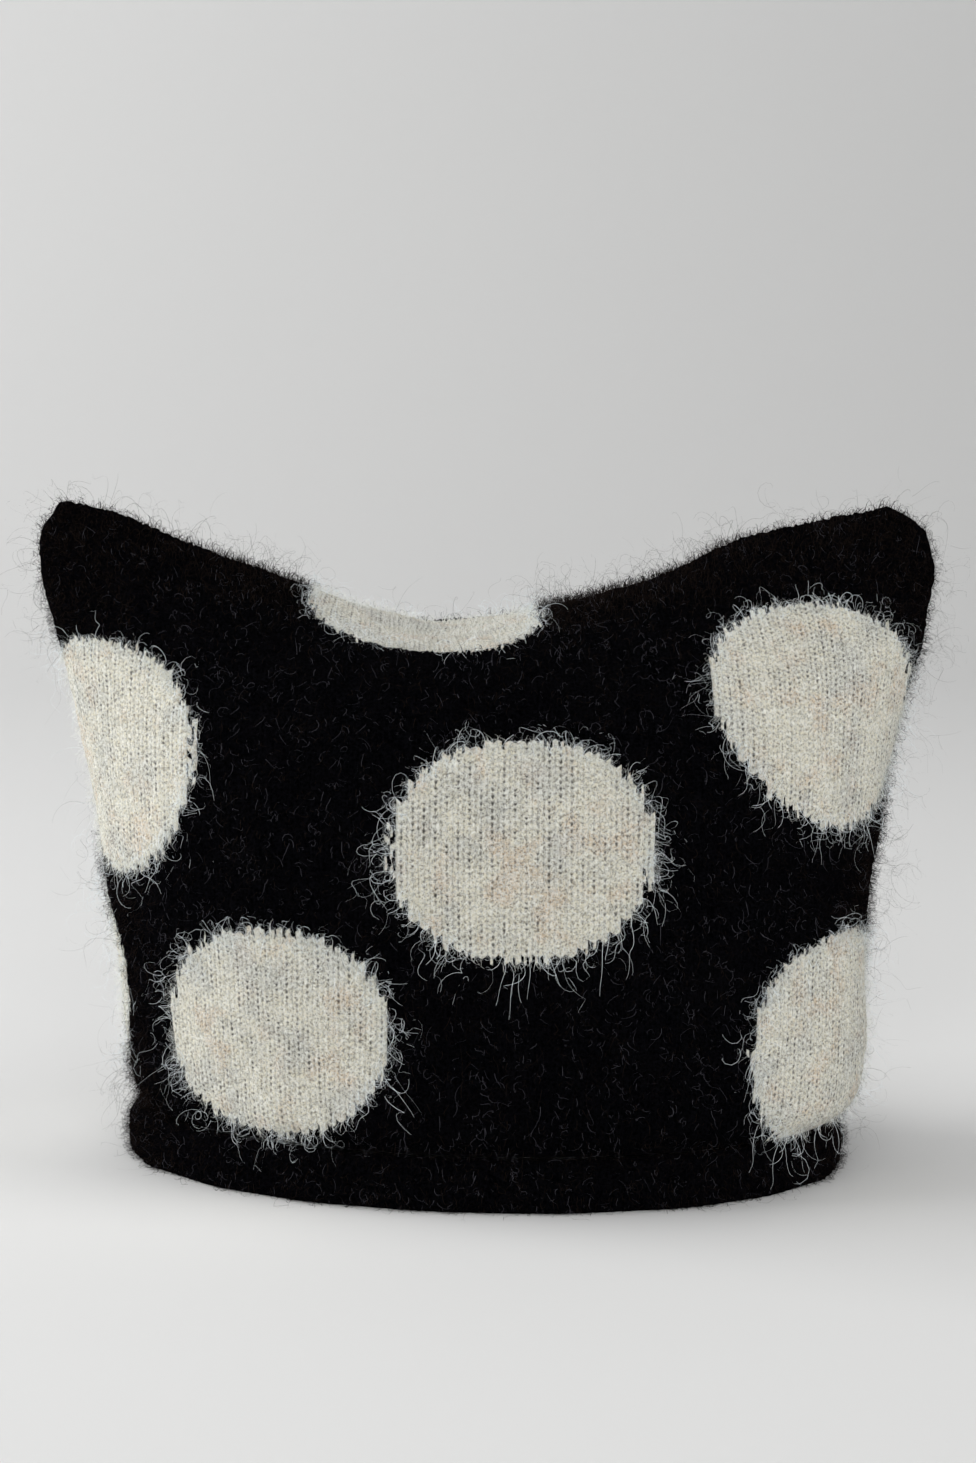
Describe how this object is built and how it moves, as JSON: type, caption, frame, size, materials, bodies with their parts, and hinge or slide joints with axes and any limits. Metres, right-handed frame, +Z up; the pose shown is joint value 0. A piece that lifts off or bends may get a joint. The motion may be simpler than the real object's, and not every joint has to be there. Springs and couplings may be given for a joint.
{
  "type": "knit beanie",
  "caption": "Brushed wool knit beanie with a hollow crown that rises to an ear corner at each side, large cream dots knitted into black, and a rolled hem that it stands on.",
  "frame": {"origin": "middle of the hem's resting face, on the surface that the beanie stands on", "axes": "+Z up, the front faces -Y, and the left side of the front view is -X"},
  "size_m": [0.2552, 0.1396, 0.1921],
  "materials": {
    "black_wool": "brushed wool knit, matte, with short grey lint",
    "cream_wool": "brushed wool knit, matte, with grey and beige flecks"
  },
  "bodies": {
    "root": {"crown": "black_wool", "brim": "black_wool"}
  },
  "joints": []
}
